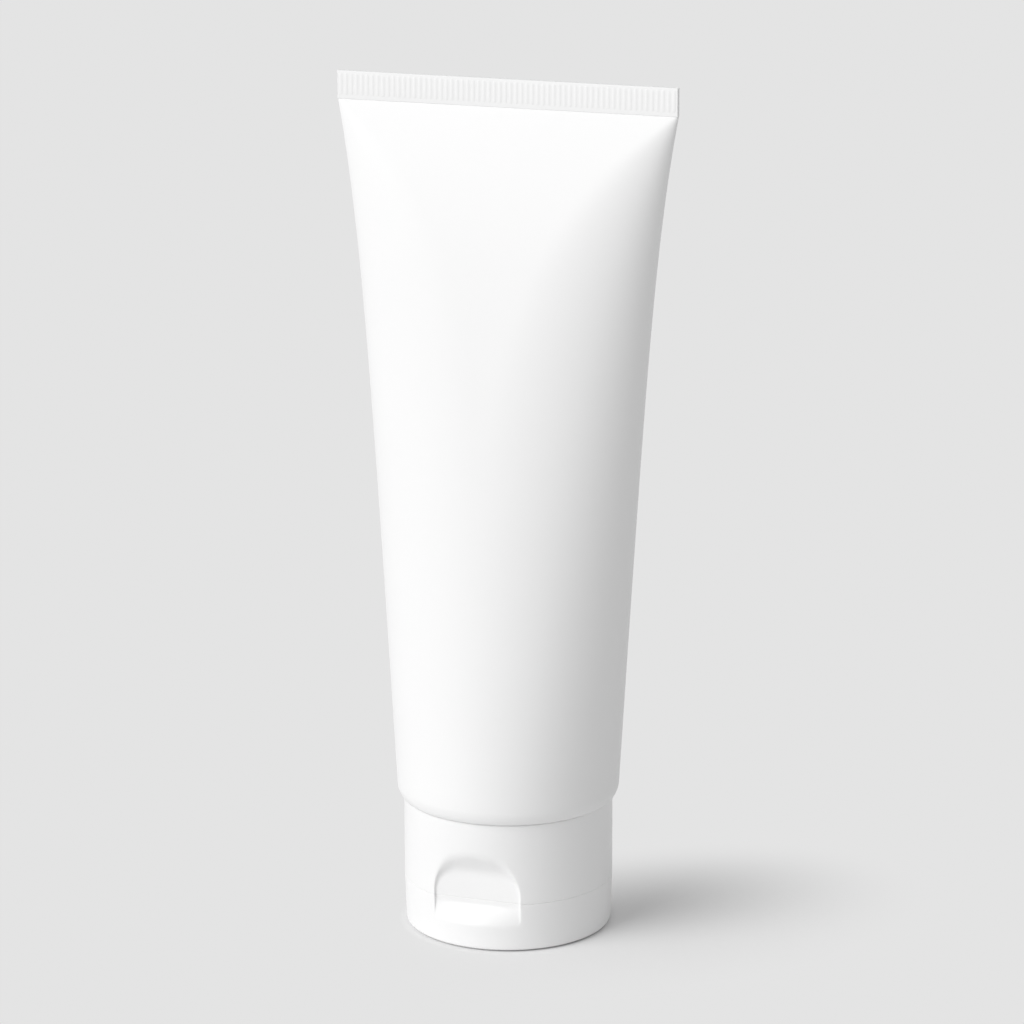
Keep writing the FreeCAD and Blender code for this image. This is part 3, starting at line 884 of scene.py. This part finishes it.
def add_hinge(made, cap, way):
    """One half of the film hinge and the lug that carries it."""
    half = cap.hinge_width / 2
    inside = cap.radius - cap.wall + CLEAR
    low = cap.seam + way * CLEAR
    face = cap.seam + way * cap.lug_face
    slope = face + way * cap.lug_slope
    lug = [
        (inside, low, 0),
        (cap.radius, low, 0.1 * MM),
        (cap.radius, face, 0.3 * MM),
        (inside, slope, 0),
    ]
    bar(made, lug, half, 0.15 * MM)
    bar(made, film_corners(cap, way), half - 0.2 * MM, 0.1 * MM)


def base_mesh(made, cap):
    """Outer wall, deck with nozzle and collar, and the rings that hold and seal the neck."""
    skin = CapHalf(made, cap, 1, 0)
    height = cap.top - cap.seam
    beyond = [(cap.radius, 12.6 * MM), (cap.radius, 13.7 * MM)]
    rim = rounded([(cap.radius, 0, 0), (cap.radius, height, cap.rim_round), (0, height, 0)])
    skin.build(
        flat=cap.notch_flat,
        top=cap.notch_top,
        corner=cap.notch_corner,
        edge=1.0 * MM,
        window=(FIELD_HALF, BASE_FIELD),
        counts=(6, 8, 5),
        rows=beyond + [tuple(point) for point in rim[1:-1]],
    )

    inside = cap.radius - cap.wall
    deck = cap.seam + cap.deck
    behind = cap.radius - cap.notch_depth - cap.notch_wall
    slope_low = cap.seam + cap.notch_flat + cap.notch_wall / 2
    slope_high = cap.seam + cap.notch_top + cap.notch_wall
    mouth = [(cap.radius, cap.top, 0), (inside, cap.top, 0.2 * MM), (inside, slope_high, 0)]
    rows = [(radius, z, None) for radius, z in rounded(mouth)[1:]]
    for part in steps(0, 1, 8):
        reach = inside + (behind - inside) * part
        rows.append((inside, slope_high + (slope_low - slope_high) * part, reach))
    rows.append((inside, deck, behind))
    nozzle_low = cap.seam - cap.nozzle_rise
    nozzle = [
        (inside - 6 * MM, deck, 0),
        (cap.orifice, deck, 0.2 * MM),
        (cap.orifice, nozzle_low, 0.2 * MM),
        (cap.orifice + cap.nozzle_wall, nozzle_low, 0.35 * MM),
        (cap.orifice + cap.nozzle_wall, cap.seam, 0),
    ]
    rows += [(radius, z, None) for radius, z in rounded(nozzle)]
    join_rows(made, [round_row(made, *row) for row in rows])
    close_plane(made, cap.seam)
    close_plane(made, cap.top)

    outer = inside - cap.lid_fit
    collar_low = cap.seam - cap.collar_rise
    buried = cap.seam + 0.4 * MM
    collar = [
        (outer, buried, 0),
        (outer, collar_low, 0.25 * MM),
        (outer - cap.collar_wall, collar_low, 0.25 * MM),
        (outer - cap.collar_wall, buried, 0),
    ]
    ring(made, collar, behind - cap.lid_fit)
    for corners in NECK_RINGS:
        ring(made, [(radius * MM, deck + rise * MM, r * MM) for radius, rise, r in corners])
    add_hinge(made, cap, 1)


def lid_mesh(made, cap):
    """Outer wall and flat face, with the hollow plug inside."""
    lean = cap.lid_draft / cap.seam
    skin = CapHalf(made, cap, -1, lean)
    beyond = [(skin.radius(6.3 * MM), 6.3 * MM)]
    under = cap.seam - cap.foot_rise
    foot = cap.radius - cap.lid_draft - cap.foot_inset
    edge = rounded(
        [
            (cap.radius, 0, 0),
            (skin.radius(under), under, cap.lid_edge),
            (foot, under, 0),
            (foot, cap.seam, 0.05 * MM),
            (0, cap.seam, 0),
        ],
        turns=9,
    )
    face = skin.build(
        flat=cap.ledge_start,
        top=cap.ledge_drop,
        corner=cap.ledge_corner,
        edge=0.5 * MM,
        window=(FIELD_HALF, LID_FIELD),
        counts=(3, 4, 12),
        rows=beyond + [tuple(point) for point in edge[1:-1]],
        level_top=True,
    )
    made.faces.new(face)

    inside = cap.radius - cap.wall
    behind = cap.radius - cap.notch_depth - cap.notch_wall
    slope_high = cap.ledge_start + cap.notch_wall / 2
    slope_low = cap.ledge_drop + cap.notch_wall
    rows = [(inside, 0, behind), (inside - lean * slope_high, slope_high, behind)]
    for part in steps(0, 1, 10):
        rise = slope_high + (slope_low - slope_high) * part
        rows.append((inside - lean * rise, rise, behind + (inside - behind) * part))
    rows = [(radius, cap.seam - rise, reach) for radius, rise, reach in rows]
    plug = cap.orifice - cap.plug_fit
    plug_high = cap.seam - cap.nozzle_rise + cap.plug_depth
    floor = inside - lean * (cap.seam - cap.lid_face)
    inner = [
        (inside - lean * slope_low, cap.seam - slope_low, 0),
        (floor, cap.lid_face, 0.5 * MM),
        (plug, cap.lid_face, 0.2 * MM),
        (plug, plug_high, 0.3 * MM),
        (plug - cap.plug_wall, plug_high, 0.15 * MM),
        (plug - cap.plug_wall, cap.lid_face, 0.15 * MM),
        (0, cap.lid_face, 0),
    ]
    rows += [(radius, z, None) for radius, z in rounded(inner)[1:-1]]
    rings = [round_row(made, *row) for row in rows]
    join_rows(made, rings)
    made.faces.new(rings[-1])
    close_plane(made, cap.seam)
    add_hinge(made, cap, -1)


# ---------------------------------------------------------------- stage

SEEN = ("Camera", "Glossy", "Transmission")
WHITE = (1, 1, 1, 1)
FLOOR_HALF = 40.0  # metres from the middle of the floor to its edge
UNDER = 0.8 * MM  # how far in under the lid's edge the floor starts to glow
EASE = 2 * MM  # distance over which that glow sets in


def aimed(turn, rise):
    """The direction at an angle round from the notch and an angle above the horizon."""
    flat = math.cos(rise)
    return Vector((math.sin(turn) * flat, -math.cos(turn) * flat, math.sin(rise)))


def rightward(turn):
    """What lies to the right for someone who looks at the tube from an angle round."""
    return Vector((math.cos(turn), math.sin(turn), 0))


def seen_rays(graph):
    """1 for the rays that show a thing to the camera, straight or in gloss or glass."""
    rays = graph.add("ShaderNodeLightPath")
    kinds = [Term(graph, rays.outputs[f"Is {kind} Ray"]) for kind in SEEN]
    return (kinds[0] + kinds[1] + kinds[2]).between(0, 1)


def add_floor(tone, stage):
    """A wide plain floor that keeps the tube's shadow near the tube and all shade under the lid,
    and glows as white as the backdrop further out."""
    mesh = bpy.data.meshes.new("floor")
    ways = [(-1, -1), (1, -1), (1, 1), (-1, 1)]
    corners = [(x * FLOOR_HALF, y * FLOOR_HALF, 0) for x, y in ways]
    mesh.from_pydata(corners, [], [(0, 1, 2, 3)])
    material = bpy.data.materials.new("floor_matte")
    graph = start_shading(material)
    matte = graph.add("ShaderNodeBsdfDiffuse", {"Color": (*tone, 1)})
    light = graph.add("ShaderNodeEmission", {"Color": WHITE, "Strength": stage.backdrop})
    place = graph.add("ShaderNodeTexCoord").outputs["Object"]
    shade = graph.add(
        "ShaderNodeMapping",
        {
            "Vector": place,
            "Location": rightward(stage.turn) * stage.shade_middle,
            "Rotation": (0, 0, stage.turn + stage.shade_turn),
            "Scale": (stage.shade_long, stage.shade_wide, 1),
        },
        vector_type="TEXTURE",
    )
    fade = graph.size_of(shade.outputs[0]).between(0, 1)
    bare = ((graph.size_of(place) - (LID_HIGH[0] - UNDER)) / EASE).between(0, 1)
    glow = seen_rays(graph) * bare * fade * fade * (3 - fade * 2)
    both = graph.add("ShaderNodeMixShader", {0: glow, 1: matte.outputs[0], 2: light.outputs[0]})
    graph.add("ShaderNodeOutputMaterial", {"Surface": both.outputs[0]})
    mesh.materials.append(material)
    floor = bpy.data.objects.new("floor", mesh)
    bpy.context.collection.objects.link(floor)


def add_world(power, backdrop):
    """Even light from all round, with a pale backdrop."""
    world = bpy.data.worlds.new("studio")
    bpy.context.scene.world = world
    graph = start_shading(world)
    light = graph.add("ShaderNodeBackground", {"Color": WHITE, "Strength": power})
    pale = graph.add("ShaderNodeBackground", {"Color": WHITE, "Strength": backdrop})
    both = graph.add(
        "ShaderNodeMixShader", {0: seen_rays(graph), 1: light.outputs[0], 2: pale.outputs[0]}
    )
    graph.add("ShaderNodeOutputWorld", {"Surface": both.outputs[0]})


def add_key(stage):
    """A broad key light, from the left of the camera and above."""
    lamp = bpy.data.lights.new("key", "SUN")
    lamp.energy = stage.key_power
    lamp.angle = stage.key_size
    key = bpy.data.objects.new("key", lamp)
    source = aimed(stage.turn - stage.key_turn, stage.key_rise)
    key.rotation_euler = source.to_track_quat("Z", "Y").to_euler()
    key.location = source
    bpy.context.collection.objects.link(key)


def add_camera(stage):
    """The camera, a little above the tube and round from the notch."""
    lens = bpy.data.cameras.new("camera")
    lens.lens = stage.lens
    lens.sensor_width = 36
    lens.clip_start = 0.01
    lens.clip_end = 200
    camera = bpy.data.objects.new("camera", lens)
    back = aimed(stage.turn, stage.rise)
    target = Vector((0, 0, stage.aim)) + rightward(stage.turn) * stage.aside
    camera.location = target + back * stage.distance
    level = back.to_track_quat("Z", "Y")
    camera.rotation_euler = (level @ Quaternion((0, 0, 1), stage.roll)).to_euler()
    bpy.context.collection.objects.link(camera)
    bpy.context.scene.camera = camera


# ---------------------------------------------------------------- operators and panel


def tube_plastic(looks):
    """The sleeve's soft extruded plastic."""
    return plastic(
        "sleeve_satin", looks.sleeve, roughness=0.5, grain=0.9 * MM, relief=0.004 * MM
    )


def cap_plastic(looks):
    """The cap's moulded plastic, a little glossier."""
    return plastic("cap_satin", looks.cap, roughness=0.42, grain=0.5 * MM, relief=0.003 * MM)


class ScrubTubeAddSleeve(bpy.types.Operator):
    """Adds the sleeve with its ribbed crimp"""

    bl_idname = "scrub_tube.add_sleeve"
    bl_label = "Sleeve"

    def execute(self, context):
        sizes = context.scene.scrub_tube_sleeve
        material = tube_plastic(context.scene.scrub_tube_looks)
        made = bmesh.new()
        made.from_mesh(skin_mesh(sizes, material))
        made.from_mesh(rib_mesh(sizes, material))
        finish_piece("sleeve_skin", made, material, "tube", "sleeve")
        return {"FINISHED"}


class ScrubTubeAddCap(bpy.types.Operator):
    """Adds both halves of the flip-top cap"""

    bl_idname = "scrub_tube.add_cap"
    bl_label = "Cap"

    def execute(self, context):
        cap = context.scene.scrub_tube_cap
        material = cap_plastic(context.scene.scrub_tube_looks)
        base = bmesh.new()
        base_mesh(base, cap)
        finish_piece("cap_base_shell", base, material, "tube", "cap_base")
        lid = bmesh.new()
        lid_mesh(lid, cap)
        finish_piece("cap_lid_shell", lid, material, "lid", "lid")
        return {"FINISHED"}


class ScrubTubeFinishInside(bpy.types.Operator):
    """Gives the shoulder and the filling their materials"""

    bl_idname = "scrub_tube.finish_inside"
    bl_label = "Shoulder and filling"

    def execute(self, context):
        looks = context.scene.scrub_tube_looks
        finishes = {
            "shoulder": tube_plastic(looks),
            "scrub_fill": paste("scrub_paste", looks.scrub, looks.grains),
        }
        for node, material in finishes.items():
            for slot in frame["nodes"][node].material_slots:
                slot.material = material
        return {"FINISHED"}


class ScrubTubeAddStage(bpy.types.Operator):
    """Adds the camera, the light and the floor"""

    bl_idname = "scrub_tube.add_stage"
    bl_label = "Stage"

    def execute(self, context):
        stage = context.scene.scrub_tube_stage
        add_camera(stage)
        add_key(stage)
        add_world(stage.sky_power, stage.backdrop)
        add_floor(context.scene.scrub_tube_looks.floor, stage)
        context.scene.view_settings.view_transform = "Standard"
        return {"FINISHED"}


class ScrubTubePanel(bpy.types.Panel):
    """Lists the tube's sizes, colours and build steps"""

    bl_idname = "VIEW3D_PT_scrub_tube"
    bl_label = "Scrub tube"
    bl_space_type = "VIEW_3D"
    bl_region_type = "UI"
    bl_category = "Scrub tube"

    def draw(self, context):
        for group, settings in GROUPS.items():
            box = self.layout.box()
            box.label(text=settings.__doc__)
            values = getattr(context.scene, group)
            for name in settings.__annotations__:
                box.prop(values, name)
        for operator in BUILD_STEPS:
            self.layout.operator(operator.bl_idname)


GROUPS = {
    "scrub_tube_sleeve": ScrubTubeSleeve,
    "scrub_tube_cap": ScrubTubeCap,
    "scrub_tube_looks": ScrubTubeLooks,
    "scrub_tube_stage": ScrubTubeStage,
}
BUILD_STEPS = (ScrubTubeAddStage, ScrubTubeAddSleeve, ScrubTubeAddCap, ScrubTubeFinishInside)
CLASSES = (*GROUPS.values(), *BUILD_STEPS, ScrubTubePanel)


def register():
    for item in CLASSES:
        bpy.utils.register_class(item)
    for group, settings in GROUPS.items():
        setattr(bpy.types.Scene, group, PointerProperty(type=settings))


def unregister():
    for group in GROUPS:
        delattr(bpy.types.Scene, group)
    for item in reversed(CLASSES):
        bpy.utils.unregister_class(item)


def main():
    register()
    bpy.ops.scrub_tube.add_stage()
    bpy.ops.scrub_tube.add_sleeve()
    bpy.ops.scrub_tube.add_cap()
    bpy.ops.scrub_tube.finish_inside()


if __name__ == "__main__":
    main()
